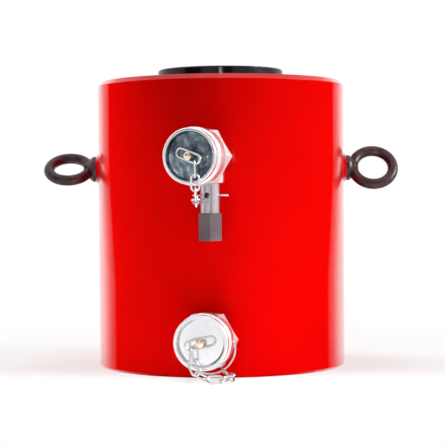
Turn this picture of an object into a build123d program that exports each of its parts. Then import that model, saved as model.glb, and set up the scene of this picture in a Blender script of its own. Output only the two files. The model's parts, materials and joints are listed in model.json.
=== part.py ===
from build123d import *
import os
from math import atan2, cos, degrees, pi, radians, sin, tan

# A short double acting hydraulic cylinder. Millimetres, +Z up, the base rests on
# Z = 0 at the origin, the oil ports face -Y and the lifting eyes stand on +X and -X.

# Barrel
body_r = 82.5
body_h = 190.0
base_thick = 36.0
rim_chamfer = 3.0
foot_chamfer = 1.5
head_step = 2.5
head_depth = 32.0
lead_chamfer = 1.5

# Piston
piston_len = 42.0
piston_clearance = 0.5
wear_band_at = 7.0
wear_band_width = 10.0
wear_band_depth = 2.4
piston_seal_at = 25.0
piston_seal_width = 8.0
piston_seal_depth = 5.0
spigot_r = 30.0
nut_r = 43.0
nut_recess_r = 44.5
nut_recess_depth = 14.0
nut_thick = 11.0
nut_slot_width = 8.0
nut_slot_depth = 4.0

# Plunger and saddle
plunger_r = 47.5
gland_wall = 17.5
plunger_top_drop = 1.5
plunger_chamfer = 1.5
saddle_r = 42.0
saddle_thick = 9.5
saddle_chamfer = 0.8
saddle_spigot_r = 16.0
saddle_spigot_len = 8.0
grip_slot_width = 2.2
grip_slot_depth = 1.1
grip_slot_bearing = 35.0
grip_ring_r = 27.0
screw_r = 5.0
screw_head_r = 10.0
screw_len = 24.0
screw_socket_r = 4.6
screw_socket_depth = 4.0

# Gland, its ring nut and seals
gallery_wall = 10.5
gallery_len = 16.0
gland_len = 56.0
gland_flange_thick = 8.0
gland_collar_wall = 9.5
gland_top_drop = 6.0
gland_gap = 0.5
ring_nut_drop = 3.0
spanner_hole_r = 4.0
spanner_hole_depth = 6.0
spanner_hole_count = 4
bearing_at = 3.0
bearing_width = 15.0
bearing_wall = 3.0
rod_seal_at = 23.0
rod_seal_width = 7.0
rod_seal_wall = 5.0
rod_seal_vee = 2.0
wiper_width = 6.0
wiper_wall = 4.5
wiper_lip = 1.4
gland_seal_at = 20.0
gland_seal_width = 5.0
gland_seal_depth = 3.9

# Base fixing holes
base_hole_r = 6.0
base_hole_depth = 20.0
base_hole_pitch_r = 60.0
base_hole_count = 4
base_hole_bearing = 45.0

# Lifting bosses and eye bolts
eye_drop = 58.0
boss_foot_r = 15.0
boss_face_r = 8.8
boss_sink = 2.5
boss_stand = 1.5
eye_shank_r = 4.0
eye_shank_len = 12.0
eye_hole_spare = 1.5
eye_collar_r = 8.5
eye_collar_len = 4.0
eye_neck_r = 4.6
eye_reach = 20.0
eye_ring_r = 13.5
eye_wire_r = 3.5
eye_sides = 8
eye_lean_right = 34.0
eye_lean_left = 56.0

# Oil ports: bearing round the barrel and turn of the port, both from -Y towards -X
upper_port_rise = 9.5
upper_port_bearing = 2.5
upper_port_turn = 20.0
upper_standoff = 45.3
upper_spot_depth = 6.0
lower_port_z = 24.5
lower_port_bearing = 5.1
lower_port_turn = 12.0
lower_standoff = 28.45
lower_spot_depth = 3.0
spot_r = 12.4
port_r = 8.3
port_thread_len = 8.0
oilway_r = 3.5
gallery_hole_y = -40.0

# Coupler half, measured back from the outer face of its dust cap
nose_at = 6.5
nose_r = 14.3
hex_at = 16.0
hex_thick = 8.0
hex_flats = 32.0
neck_r = 11.0
shank_r = 8.25
washer_r = 10.9
washer_thick = 1.5
mouth_r = 4.0
mouth_len = 2.0
chamber_r = 6.0
chamber_len = 12.5
poppet_guide_len = 3.0
spring_wire = 0.9
spring_turns = 4
spring_sides = 10
spring_section = 0.8

# Dust cap
cap_r = 17.0
cap_front_band = 4.0
cap_groove_r = 15.9
cap_groove_to = 7.5
cap_rear_r = 17.7
cap_len = 15.5
dish_r = 15.0
dish_floor_r = 13.6
dish_depth = 2.5
cap_web = 2.0
cap_edge = 0.6

# Cap rivet and wire loop
rivet_r = 1.5
rivet_head_r = 2.6
rivet_head_thick = 1.3
rivet_tail_r = 2.8
rivet_tail_thick = 0.9
loop_wire_r = 0.75
loop_half_len = 9.25
loop_half_width = 2.75
loop_tilt = 18.0
upper_loop_bearing = -19.0
lower_loop_bearing = 192.0

# Chain links
link_wire_r = 0.65
link_len = 11.5
link_width = 6.0
link_slack = 0.6
wire_sides = 6
bend_steps = 4

# Runs of the two chains, each link's bearing from +X and its dip below level
upper_runs = ((90, 88), (90, 76), (90, 48), (90, 16), (90, -4), (90, -12), (90, -16))
lower_runs = ((300, 84), (312, 52), (340, 22), (15, 0), (50, 0), (80, 0), (105, 0), (115, -17))
upper_chain_lie = -20.0
lower_chain_lie = -28.0

# Ring that ties the lower chain to its coupler's neck
tie_ring_r = 16.5
tie_ring_wire_r = 0.7
tie_ring_at = 24.9
tie_hook_turn = -60.0

# Tee adapter and relief valve
tee_r = 10.9
tee_valve_at = 9.7
branch_r = 9.0
branch_len = 15.9
valve_thread_r = 5.0
valve_thread_len = 6.5
stem_r = 6.0
stem_len = 18.8
stem_bore_r = 3.4
seat_r = 1.4
seat_drop = 2.5
vent_r = 1.75
vent_drop = 7.6
wire_hole_r = 0.7
wire_hole_depth = 1.8
valve_cap_flats = 14.0
valve_cap_len = 16.8
valve_stud_len = 4.0
relief_poppet_len = 5.0
relief_poppet_cone = 2.0
anchor_half = 11.4
anchor_shoulder = 10.6
anchor_shoulder_back = 4.4
anchor_crown = 4.3
anchor_back = 7.4
anchor_wire_r = 0.6
anchor_hook_at = 8.7

# Clearances
running_fit = 0.05
thread_fit = 0.05
gap = 0.1

# Sizes that follow from the ones above
bore_r = plunger_r + gland_wall
head_r = bore_r + head_step
piston_r = bore_r - piston_clearance
gallery_r = plunger_r + gallery_wall
gland_collar_r = plunger_r + gland_collar_wall
floor_z = base_thick
shoulder_z = body_h - head_depth
piston_top_z = floor_z + piston_len
gland_top_z = body_h - gland_top_drop
gland_foot_z = gland_top_z - gland_len
plunger_top_z = body_h - plunger_top_drop
upper_port_z = gland_foot_z + upper_port_rise
eye_z = body_h - eye_drop
boss_foot_x = body_r - boss_sink
boss_face_x = body_r + boss_stand
eye_centre_x = body_r + eye_reach
ring_nut_top_z = body_h - ring_nut_drop
flange_top_z = shoulder_z + gland_flange_thick
spigot_foot_z = floor_z + nut_recess_depth - nut_thick
rod_bore_r = plunger_r + gland_gap
seal_inner_r = plunger_r + running_fit

os.makedirs("parts", exist_ok=True)


def beside(plane):
    """The plane through a plane's normal and X direction, to draw half sections on."""
    return Plane(plane.origin, x_dir=plane.x_dir, z_dir=-plane.y_dir)


def along(plane):
    """The axis that stands on a plane's origin."""
    return Axis(plane.origin, plane.z_dir)


def port_plane(bearing, turn, height):
    """The plane where a port's axis leaves the barrel, X to the right and Y up."""
    entry = (-body_r * sin(radians(bearing)), -body_r * cos(radians(bearing)), height)
    right = (cos(radians(turn)), -sin(radians(turn)), 0)
    outward = (-sin(radians(turn)), -cos(radians(turn)), 0)
    return Plane(entry, x_dir=right, z_dir=outward)


upper_port = port_plane(upper_port_bearing, upper_port_turn, upper_port_z)
lower_port = port_plane(lower_port_bearing, lower_port_turn, lower_port_z)
upper_face = upper_port.offset(upper_standoff)
lower_face = lower_port.offset(lower_standoff)


def save(part, name):
    """Label a finished piece and write it to its own file."""
    part.label = name
    export_step(part, f"parts/{name}.step")


def wire_body(path, thickness_r):
    """Sweep a polygonal wire section round a closed path of straight runs."""
    with BuildSketch(Plane(path @ 0, z_dir=path % 0)) as section:
        RegularPolygon(thickness_r, wire_sides)
    sweep(section.sketch, path=path, transition=Transition.RIGHT)


def racetrack(half_len, half_width):
    """Centre line points of a long link, from the middle of one side."""
    straight = half_len - half_width
    points = [(0, -half_width)]
    for side in (1, -1):
        for step in range(bend_steps + 1):
            turn = side * (pi * step / bend_steps - pi / 2)
            points.append((side * (straight + half_width * cos(turn)), half_width * sin(turn)))
    return points


def make_link(plane, half_len, half_width, wire_r):
    """A long wire link on a plane, lengthwise along the plane's X."""
    with BuildLine(plane) as track:
        Polyline(*racetrack(half_len, half_width), close=True)
    wire_body(track.wire(), wire_r)


def chain_points(start, end, runs):
    """Points where a chain's links meet, by each link's bearing and dip, closed on the end."""
    pitch = link_len - 4 * link_wire_r - link_slack
    points = [start]
    for bearing, dip in runs:
        level = cos(radians(dip))
        step = Vector(level * cos(radians(bearing)), level * sin(radians(bearing)), -sin(radians(dip)))
        points.append(points[-1] + step * pitch)
    miss = end - points[-1]
    return [point + miss * (number / len(runs)) for number, point in enumerate(points)]


def make_chain(points, right, lie):
    """A chain of links between points, each at right angles to the last."""
    first_run = (points[1] - points[0]).normalized()
    normal = (first_run.cross(right)).rotate(Axis((0, 0, 0), first_run), lie)
    with BuildPart() as chain:
        for start, end in zip(points, points[1:]):
            run = (end - start).normalized()
            normal = run.cross(normal).normalized()
            middle = Plane((start + end) * 0.5, x_dir=run, z_dir=normal)
            make_link(middle, link_len / 2 - link_wire_r, link_width / 2 - link_wire_r, link_wire_r)
    return chain


def bored_port(plane, spot_depth, reach):
    """Spot face, thread hole and drilled oilway of one port."""
    spot = plane.offset(-spot_depth)
    for radius, length in ((spot_r, 2 * spot_r), (port_r, -port_thread_len), (oilway_r, -reach)):
        with BuildSketch(spot) as hole:
            Circle(radius)
        extrude(hole.sketch, amount=length, mode=Mode.SUBTRACT)


# Barrel with a closed base, screwed head, two oil ports and fixing holes
lower_reach = (gallery_hole_y - lower_port.origin.Y) / cos(radians(lower_port_turn)) - lower_spot_depth
gallery_x = lower_port.origin.X + (gallery_hole_y - lower_port.origin.Y) * tan(radians(lower_port_turn))
with BuildPart() as cylinder_body:
    with BuildSketch(Plane.XZ):
        with BuildLine():
            Polyline(
                (0, 0),
                (body_r, 0),
                (body_r, body_h),
                (head_r, body_h),
                (head_r, shoulder_z),
                (bore_r, shoulder_z),
                (bore_r, floor_z),
                (0, floor_z),
                close=True,
            )
        make_face()
    revolve(axis=Axis.Z)
    rim_edges = cylinder_body.edges().filter_by(GeomType.CIRCLE).group_by(Axis.Z)[-1]
    chamfer(rim_edges.sort_by(SortBy.RADIUS)[-1], rim_chamfer)
    chamfer(rim_edges.sort_by(SortBy.RADIUS)[0], lead_chamfer)
    chamfer(cylinder_body.edges().filter_by(GeomType.CIRCLE).group_by(Axis.Z)[0], foot_chamfer)
    bored_port(upper_port, upper_spot_depth, body_r - bore_r)
    bored_port(lower_port, lower_spot_depth, lower_reach)
    with BuildSketch(Plane.XY.offset(lower_port_z)):
        with Locations((gallery_x, gallery_hole_y)):
            Circle(oilway_r)
    extrude(amount=floor_z - lower_port_z, mode=Mode.SUBTRACT)
    with BuildSketch(Plane.XY):
        with PolarLocations(base_hole_pitch_r, base_hole_count, start_angle=base_hole_bearing):
            Circle(base_hole_r)
    extrude(amount=base_hole_depth, mode=Mode.SUBTRACT)
    for side in (1, -1):
        with BuildSketch(Plane((side * body_r, 0, eye_z), z_dir=(-side, 0, 0))):
            Circle(eye_shank_r + thread_fit)
        extrude(amount=body_r - boss_face_x + eye_shank_len + eye_hole_spare, mode=Mode.SUBTRACT)
save(cylinder_body.part, "cylinder_body")

# Conical weld bosses that the eye bolts screw through
with BuildPart() as lifting_bosses:
    for side in (1, -1):
        boss = Plane((0, 0, eye_z), x_dir=(0, 1, 0), z_dir=(side, 0, 0))
        with BuildSketch(beside(boss)):
            with BuildLine():
                Polyline(
                    (eye_shank_r + thread_fit, boss_foot_x),
                    (boss_foot_r, boss_foot_x),
                    (boss_face_r, boss_face_x),
                    (eye_shank_r + thread_fit, boss_face_x),
                    close=True,
                )
            make_face()
        revolve(axis=along(boss))
    with BuildSketch(Plane.XY):
        Circle(body_r)
    extrude(amount=body_h, mode=Mode.SUBTRACT)
save(lifting_bosses.part, "lifting_bosses")

# Forged eye bolts, each ring leaning back by its own angle about the shank
with BuildPart() as eye_bolts:
    for side, lean in ((1, eye_lean_right), (-1, eye_lean_left)):
        bolt = Plane((0, 0, eye_z), x_dir=(0, 1, 0), z_dir=(side, 0, 0))
        seat = boss_face_x
        with BuildSketch(beside(bolt)):
            with BuildLine():
                Polyline(
                    (0, seat - eye_shank_len),
                    (eye_shank_r, seat - eye_shank_len),
                    (eye_shank_r, seat),
                    (eye_collar_r, seat),
                    (eye_collar_r, seat + eye_collar_len),
                    (eye_neck_r, eye_centre_x - eye_ring_r + eye_wire_r),
                    (0, eye_centre_x - eye_ring_r + eye_wire_r),
                    close=True,
                )
            make_face()
        revolve(axis=along(bolt))
        eye_normal = (0, cos(radians(lean)), -sin(radians(lean)))
        eye = Plane((side * eye_centre_x, 0, eye_z), x_dir=(1, 0, 0), z_dir=eye_normal)
        with BuildSketch(eye):
            Circle(eye_ring_r - eye_wire_r)
        extrude(amount=eye_collar_r, both=True, mode=Mode.SUBTRACT)
        with BuildSketch(beside(eye)):
            with Locations((eye_ring_r, 0)):
                RegularPolygon(eye_wire_r, eye_sides, major_radius=False)
        revolve(axis=along(eye))
save(eye_bolts.part, "eye_bolts")

# Gland: gallery nose, sealed land, clamped flange and wiper collar
with BuildPart() as gland:
    with BuildSketch(Plane.XZ):
        with BuildLine():
            Polyline(
                (rod_bore_r, gland_foot_z),
                (gallery_r, gland_foot_z),
                (gallery_r, gland_foot_z + gallery_len),
                (bore_r - running_fit, gland_foot_z + gallery_len),
                (bore_r - running_fit, shoulder_z),
                (head_r - gap, shoulder_z),
                (head_r - gap, flange_top_z),
                (gland_collar_r, flange_top_z),
                (gland_collar_r, gland_top_z),
                (rod_bore_r, gland_top_z),
                close=True,
            )
        make_face()
    revolve(axis=Axis.Z)
    with BuildSketch(Plane.XZ):
        with Locations((plunger_r, gland_foot_z + bearing_at)):
            Rectangle(bearing_wall + running_fit, bearing_width, align=(Align.MIN, Align.MIN))
        with Locations((plunger_r, gland_foot_z + rod_seal_at)):
            Rectangle(rod_seal_wall + running_fit, rod_seal_width, align=(Align.MIN, Align.MIN))
        with Locations((plunger_r, gland_top_z - wiper_width)):
            Rectangle(wiper_wall + running_fit, wiper_width, align=(Align.MIN, Align.MIN))
        with Locations((bore_r, gland_foot_z + gland_seal_at)):
            Rectangle(gland_seal_depth, gland_seal_width, align=(Align.MAX, Align.MIN))
    revolve(axis=Axis.Z, mode=Mode.SUBTRACT)
save(gland.part, "gland")

# Ring nut that screws into the head and clamps the gland
with BuildPart() as gland_ring_nut:
    with BuildSketch(Plane.XY.offset(flange_top_z)):
        Circle(head_r - thread_fit)
        Circle(gland_collar_r + gap, mode=Mode.SUBTRACT)
    extrude(amount=ring_nut_top_z - flange_top_z)
    with BuildSketch(Plane.XY.offset(ring_nut_top_z)):
        with PolarLocations((head_r + gland_collar_r) / 2, spanner_hole_count, start_angle=base_hole_bearing):
            Circle(spanner_hole_r)
    extrude(amount=-spanner_hole_depth, mode=Mode.SUBTRACT)
save(gland_ring_nut.part, "gland_ring_nut")

# Bronze bearing in the gland
with BuildPart() as rod_bearing:
    with BuildSketch(Plane.XZ):
        with Locations((seal_inner_r, gland_foot_z + bearing_at + gap)):
            Rectangle(bearing_wall - running_fit, bearing_width - 2 * gap, align=(Align.MIN, Align.MIN))
    revolve(axis=Axis.Z)
save(rod_bearing.part, "rod_bearing")

# Lip seal round the plunger, its groove towards the oil
seal_foot_z = gland_foot_z + rod_seal_at + gap
seal_outer_r = plunger_r + rod_seal_wall
with BuildPart() as rod_seal:
    with BuildSketch(Plane.XZ):
        with BuildLine():
            Polyline(
                (seal_inner_r, seal_foot_z),
                ((seal_inner_r + seal_outer_r) / 2, seal_foot_z + rod_seal_vee),
                (seal_outer_r, seal_foot_z),
                (seal_outer_r, seal_foot_z + rod_seal_width - 2 * gap),
                (seal_inner_r, seal_foot_z + rod_seal_width - 2 * gap),
                close=True,
            )
        make_face()
    revolve(axis=Axis.Z)
save(rod_seal.part, "rod_seal")

# Wiper with a lip that stands above the gland
wiper_foot_z = gland_top_z - wiper_width + gap
with BuildPart() as rod_wiper:
    with BuildSketch(Plane.XZ):
        with BuildLine():
            Polyline(
                (seal_inner_r, wiper_foot_z),
                (plunger_r + wiper_wall, wiper_foot_z),
                (plunger_r + wiper_wall, gland_top_z),
                (seal_inner_r + wiper_lip, gland_top_z),
                (seal_inner_r, gland_top_z + wiper_lip),
                close=True,
            )
        make_face()
    revolve(axis=Axis.Z)
save(rod_wiper.part, "rod_wiper")

# Square section seal between gland and bore
with BuildPart() as gland_seal:
    with BuildSketch(Plane.XZ):
        with Locations((bore_r - gland_seal_depth + gap, gland_foot_z + gland_seal_at + gap)):
            Rectangle(gland_seal_depth - 2 * gap, gland_seal_width - 2 * gap, align=(Align.MIN, Align.MIN))
    revolve(axis=Axis.Z)
save(gland_seal.part, "gland_seal")

# Plunger with a spigot for the piston and a seat for the saddle
with BuildPart() as plunger:
    with BuildSketch(Plane.XY.offset(spigot_foot_z)):
        Circle(spigot_r)
    extrude(amount=piston_top_z - spigot_foot_z)
    with BuildSketch(Plane.XY.offset(piston_top_z)):
        Circle(plunger_r)
    extrude(amount=plunger_top_z - piston_top_z)
    chamfer(plunger.edges().filter_by(GeomType.CIRCLE).group_by(Axis.Z)[-1], plunger_chamfer)
    with BuildSketch(Plane.XY.offset(plunger_top_z)):
        Circle(saddle_spigot_r + running_fit)
    extrude(amount=-saddle_spigot_len - gap, mode=Mode.SUBTRACT)
    with BuildSketch(Plane.XY.offset(plunger_top_z + saddle_thick)):
        Circle(screw_r + thread_fit)
    extrude(amount=-screw_len - gap, mode=Mode.SUBTRACT)
save(plunger.part, "plunger")

# Piston with grooves for its wear band and seal, recessed for the nut
with BuildPart() as piston:
    with BuildSketch(Plane.XY.offset(floor_z)):
        Circle(piston_r)
        Circle(spigot_r + running_fit, mode=Mode.SUBTRACT)
    extrude(amount=piston_len)
    with BuildSketch(Plane.XY.offset(floor_z)):
        Circle(nut_recess_r)
    extrude(amount=nut_recess_depth, mode=Mode.SUBTRACT)
    with BuildSketch(Plane.XZ):
        with Locations((bore_r, floor_z + wear_band_at)):
            Rectangle(wear_band_depth + gap, wear_band_width, align=(Align.MAX, Align.MIN))
        with Locations((bore_r, floor_z + piston_seal_at)):
            Rectangle(piston_seal_depth + gap, piston_seal_width, align=(Align.MAX, Align.MIN))
    revolve(axis=Axis.Z, mode=Mode.SUBTRACT)
save(piston.part, "piston")

# Wear band and seal that run in the bore
with BuildPart() as piston_wear_band:
    with BuildSketch(Plane.XZ):
        with Locations((bore_r - running_fit, floor_z + wear_band_at + gap)):
            Rectangle(wear_band_depth - running_fit, wear_band_width - 2 * gap, align=(Align.MAX, Align.MIN))
    revolve(axis=Axis.Z)
save(piston_wear_band.part, "piston_wear_band")

with BuildPart() as piston_seal:
    with BuildSketch(Plane.XZ):
        with Locations((bore_r - running_fit, floor_z + piston_seal_at + gap)):
            Rectangle(piston_seal_depth - running_fit, piston_seal_width - 2 * gap, align=(Align.MAX, Align.MIN))
    revolve(axis=Axis.Z)
save(piston_seal.part, "piston_seal")

# Slotted nut that holds the piston on the plunger
with BuildPart() as piston_nut:
    with BuildSketch(Plane.XY.offset(spigot_foot_z)):
        Circle(nut_r)
        Circle(spigot_r + thread_fit, mode=Mode.SUBTRACT)
    extrude(amount=nut_thick)
    with BuildSketch(Plane.XY.offset(spigot_foot_z)):
        with PolarLocations(nut_r, spanner_hole_count):
            Rectangle(2 * nut_slot_depth, nut_slot_width)
    extrude(amount=nut_thick, mode=Mode.SUBTRACT)
save(piston_nut.part, "piston_nut")

# Saddle with crossed grip slots and a ring groove, on a spigot in the plunger
saddle_top_z = plunger_top_z + saddle_thick
with BuildPart() as saddle:
    with BuildSketch(Plane.XY.offset(plunger_top_z)):
        Circle(saddle_r)
    extrude(amount=saddle_thick)
    chamfer(saddle.edges().filter_by(GeomType.CIRCLE).group_by(Axis.Z)[-1], saddle_chamfer)
    with BuildSketch(Plane.XY.offset(plunger_top_z)):
        Circle(saddle_spigot_r)
    extrude(amount=-saddle_spigot_len)
    with BuildSketch(Plane.XY.offset(saddle_top_z)):
        Circle(grip_ring_r + grip_slot_width / 2)
        Circle(grip_ring_r - grip_slot_width / 2, mode=Mode.SUBTRACT)
        with Locations(Rotation(0, 0, grip_slot_bearing)):
            Rectangle(2 * saddle_r, grip_slot_width)
            Rectangle(grip_slot_width, 2 * saddle_r)
    extrude(amount=-grip_slot_depth, mode=Mode.SUBTRACT)
    with Locations((0, 0, saddle_top_z)):
        CounterSinkHole(screw_r + gap, screw_head_r + gap, counter_sink_angle=90)
save(saddle.part, "saddle")

# Countersunk socket screw in the middle of the saddle
screw_cone = screw_head_r - screw_r
with BuildPart() as saddle_screw:
    with BuildSketch(Plane.XZ):
        with BuildLine():
            Polyline(
                (0, saddle_top_z - screw_len),
                (screw_r, saddle_top_z - screw_len),
                (screw_r, saddle_top_z - screw_cone),
                (screw_head_r, saddle_top_z),
                (0, saddle_top_z),
                close=True,
            )
        make_face()
    revolve(axis=Axis.Z)
    with BuildSketch(Plane.XY.offset(saddle_top_z)):
        RegularPolygon(screw_socket_r, 6)
    extrude(amount=-screw_socket_depth, mode=Mode.SUBTRACT)
save(saddle_screw.part, "saddle_screw")

# Tee adapter: run in line with the upper port, branch down to the relief valve
tee_foot = washer_thick - upper_spot_depth
tee_top = upper_standoff - hex_at - hex_thick
branch = upper_port.offset(tee_valve_at)
valve_plane = Plane(branch.origin - Vector(0, 0, branch_len), x_dir=branch.x_dir, z_dir=(0, 0, -1))
with BuildPart() as upper_tee_adapter:
    with BuildSketch(upper_port.offset(-upper_spot_depth - port_thread_len + gap)):
        Circle(shank_r)
    extrude(amount=tee_foot + upper_spot_depth + port_thread_len - gap)
    with BuildSketch(upper_port.offset(tee_foot)):
        Circle(tee_r)
    extrude(amount=tee_top - tee_foot)
    with BuildSketch(valve_plane):
        Circle(branch_r)
    extrude(amount=-branch_len)
    with BuildSketch(upper_port.offset(tee_top)):
        Circle(oilway_r)
    extrude(amount=-tee_top - upper_spot_depth - port_thread_len, mode=Mode.SUBTRACT)
    with BuildSketch(upper_port.offset(tee_top)):
        Circle(port_r)
    extrude(amount=-port_thread_len, mode=Mode.SUBTRACT)
    with BuildSketch(valve_plane):
        Circle(valve_thread_r + thread_fit)
    extrude(amount=-valve_thread_len - gap, mode=Mode.SUBTRACT)
    with BuildSketch(valve_plane):
        Circle(seat_r)
    extrude(amount=-branch_len, mode=Mode.SUBTRACT)
save(upper_tee_adapter.part, "upper_tee_adapter")

# Relief valve body: screwed top, hollow stem with a vent and a wire hole
with BuildPart() as relief_valve_body:
    with BuildSketch(beside(valve_plane)):
        with BuildLine():
            Polyline(
                (seat_r, -valve_thread_len),
                (valve_thread_r, -valve_thread_len),
                (valve_thread_r, 0),
                (stem_r, 0),
                (stem_r, stem_len),
                (stem_bore_r, stem_len),
                (stem_bore_r, -seat_drop),
                (seat_r, -seat_drop),
                close=True,
            )
        make_face()
    revolve(axis=along(valve_plane))
    vent_centre = valve_plane.origin - Vector(0, 0, vent_drop)
    with BuildSketch(Plane(vent_centre, z_dir=upper_port.z_dir)):
        Circle(vent_r)
    extrude(amount=stem_r, mode=Mode.SUBTRACT)
    for side in (1, -1):
        wire_hole_foot = vent_centre + upper_port.x_dir * side * (stem_r - wire_hole_depth)
        with BuildSketch(Plane(wire_hole_foot, z_dir=upper_port.x_dir * side)):
            Circle(wire_hole_r)
        extrude(amount=2 * wire_hole_depth, mode=Mode.SUBTRACT)
save(relief_valve_body.part, "relief_valve_body")

# Hexagonal spring cap below the stem, one edge to the front
cap_edge_turn = degrees(atan2(upper_port.x_dir.Y, upper_port.x_dir.X))
with BuildPart() as relief_valve_cap:
    with BuildSketch(valve_plane.offset(stem_len)):
        RegularPolygon(valve_cap_flats / 2, 6, major_radius=False, rotation=90 + cap_edge_turn)
    extrude(amount=valve_cap_len)
    with BuildSketch(valve_plane.offset(stem_len)):
        Circle(stem_bore_r - thread_fit)
    extrude(amount=-valve_stud_len)
save(relief_valve_cap.part, "relief_valve_cap")

# Relief poppet, its cone closing the seat
poppet_guide_r = stem_bore_r - running_fit
poppet_head = gap - seat_drop
with BuildPart() as relief_poppet:
    with BuildSketch(beside(valve_plane)):
        with BuildLine():
            Polyline(
                (0, poppet_head),
                (seat_r, poppet_head),
                (poppet_guide_r, poppet_head + relief_poppet_cone),
                (poppet_guide_r, poppet_head + relief_poppet_len),
                (0, poppet_head + relief_poppet_len),
                close=True,
            )
        make_face()
    revolve(axis=along(valve_plane))
save(relief_poppet.part, "relief_poppet")


def make_spring(plane, length, outer_r):
    """A square wire coil spring that stands on a plane."""
    rise = length - spring_wire
    steps = spring_turns * spring_sides
    mean_r = outer_r - spring_wire / 2
    coil = [
        plane.from_local_coords(
            Vector(
                mean_r * cos(2 * pi * step / spring_sides),
                mean_r * sin(2 * pi * step / spring_sides),
                spring_wire / 2 + rise * step / steps,
            )
        )
        for step in range(steps + 1)
    ]
    with BuildPart() as spring:
        with BuildLine() as coil_line:
            Polyline(*coil)
        with BuildSketch(Plane(coil[0], x_dir=plane.z_dir, z_dir=coil_line.wire() % 0)):
            Rectangle(spring_section, spring_section)
        sweep(path=coil_line.wire(), transition=Transition.RIGHT)
    return spring


relief_spring_from = poppet_head + relief_poppet_len + gap
relief_spring_to = stem_len - valve_stud_len - gap
relief_spring = make_spring(
    valve_plane.offset(relief_spring_from), relief_spring_to - relief_spring_from, stem_bore_r - 2 * gap
)
save(relief_spring.part, "relief_spring")


def make_coupler(face, foot, shank_end):
    """Coupler half behind a dust cap: screwed nose, hexagon, neck and shank."""
    with BuildPart() as coupler:
        with BuildSketch(face.offset(-nose_at)):
            Circle(nose_r)
        extrude(amount=nose_at - hex_at)
        with BuildSketch(face.offset(-hex_at)):
            RegularPolygon(hex_flats / 2, 6, major_radius=False)
        extrude(amount=-hex_thick)
        if foot > hex_at + hex_thick:
            with BuildSketch(face.offset(-foot)):
                Circle(neck_r)
            extrude(amount=foot - hex_at - hex_thick)
        with BuildSketch(face.offset(-foot)):
            Circle(shank_r)
        extrude(amount=foot - shank_end)
        with BuildSketch(face.offset(-nose_at)):
            Circle(mouth_r)
        extrude(amount=-mouth_len, mode=Mode.SUBTRACT)
        with BuildSketch(face.offset(-nose_at - mouth_len)):
            Circle(chamber_r)
        extrude(amount=-chamber_len, mode=Mode.SUBTRACT)
        with BuildSketch(face.offset(-shank_end)):
            Circle(oilway_r)
        extrude(amount=shank_end - nose_at, mode=Mode.SUBTRACT)
    return coupler


def make_poppet(face):
    """Check poppet: nose in the coupler's mouth and a shoulder behind the seat."""
    head = -nose_at
    shoulder = -nose_at - mouth_len - gap
    with BuildPart() as poppet:
        with BuildSketch(beside(face)):
            with BuildLine():
                Polyline(
                    (0, head),
                    (mouth_r - running_fit, head),
                    (mouth_r - running_fit, shoulder),
                    (chamber_r - running_fit, shoulder),
                    (chamber_r - running_fit, shoulder - poppet_guide_len),
                    (0, shoulder - poppet_guide_len),
                    close=True,
                )
            make_face()
        revolve(axis=along(face))
    return poppet


def make_washer(port, spot_depth):
    """Sealing washer between a shoulder and the spot face of a port."""
    with BuildPart() as washer:
        with BuildSketch(port.offset(-spot_depth)):
            Circle(washer_r)
            Circle(shank_r + gap, mode=Mode.SUBTRACT)
        extrude(amount=washer_thick)
    return washer


def make_cap(face):
    """Dust cap: dished front, grooved skirt and a blind screwed cavity."""
    cavity = dish_depth + cap_web
    with BuildPart() as cap:
        with BuildSketch(beside(face)):
            with BuildLine():
                Polyline(
                    (rivet_r + running_fit, -dish_depth),
                    (dish_floor_r, -dish_depth),
                    (dish_r, 0),
                    (cap_r - cap_edge, 0),
                    (cap_r, -cap_edge),
                    (cap_r, -cap_front_band),
                    (cap_groove_r, (-cap_front_band - cap_groove_to) / 2),
                    (cap_rear_r, -cap_groove_to),
                    (cap_rear_r, -cap_len),
                    (nose_r + running_fit, -cap_len),
                    (nose_r + running_fit, -cavity),
                    (rivet_r + running_fit, -cavity),
                    close=True,
                )
            make_face()
        revolve(axis=along(face))
    return cap


rivet_mid = loop_wire_r + loop_half_len * sin(radians(loop_tilt))
rivet_head_foot = rivet_mid + loop_wire_r / cos(radians(loop_tilt)) + gap - dish_depth


def make_rivet(face):
    """Swivel rivet through the cap's web, headed over the wire loop."""
    cavity = dish_depth + cap_web
    with BuildPart() as rivet:
        with BuildSketch(beside(face)):
            with BuildLine():
                Polyline(
                    (0, -cavity - gap - rivet_tail_thick),
                    (rivet_tail_r, -cavity - gap - rivet_tail_thick),
                    (rivet_tail_r, -cavity - gap),
                    (rivet_r, -cavity - gap),
                    (rivet_r, rivet_head_foot),
                    (rivet_head_r, rivet_head_foot),
                    (rivet_head_r, rivet_head_foot + rivet_head_thick / 2),
                    (rivet_r, rivet_head_foot + rivet_head_thick),
                    (0, rivet_head_foot + rivet_head_thick),
                    close=True,
                )
            make_face()
        revolve(axis=along(face))
    return rivet


def loop_plane(face, bearing):
    """The tilted plane of a cap's wire loop, X towards its raised end."""
    level = face.offset(rivet_mid + gap - dish_depth)
    lying = level.x_dir * cos(radians(bearing)) + level.y_dir * sin(radians(bearing))
    rising = lying * cos(radians(loop_tilt)) + level.z_dir * sin(radians(loop_tilt))
    return Plane(level.origin, x_dir=rising, z_dir=rising.cross(level.z_dir.cross(lying)))


def loop_catch(face, bearing):
    """The lowest point of a wire loop's raised end, where its chain hangs."""
    plane = loop_plane(face, bearing)
    bend = racetrack(loop_half_len, loop_half_width)[1 : bend_steps + 2]
    lowest = min((plane.from_local_coords(Vector(*point)) for point in bend), key=lambda point: point.Z)
    return lowest + Vector(0, 0, link_wire_r + link_slack / 2)


def make_loop(face, bearing):
    """Wire loop held under the head of a cap's rivet."""
    with BuildPart() as loop:
        make_link(loop_plane(face, bearing), loop_half_len, loop_half_width, loop_wire_r)
    return loop


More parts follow.
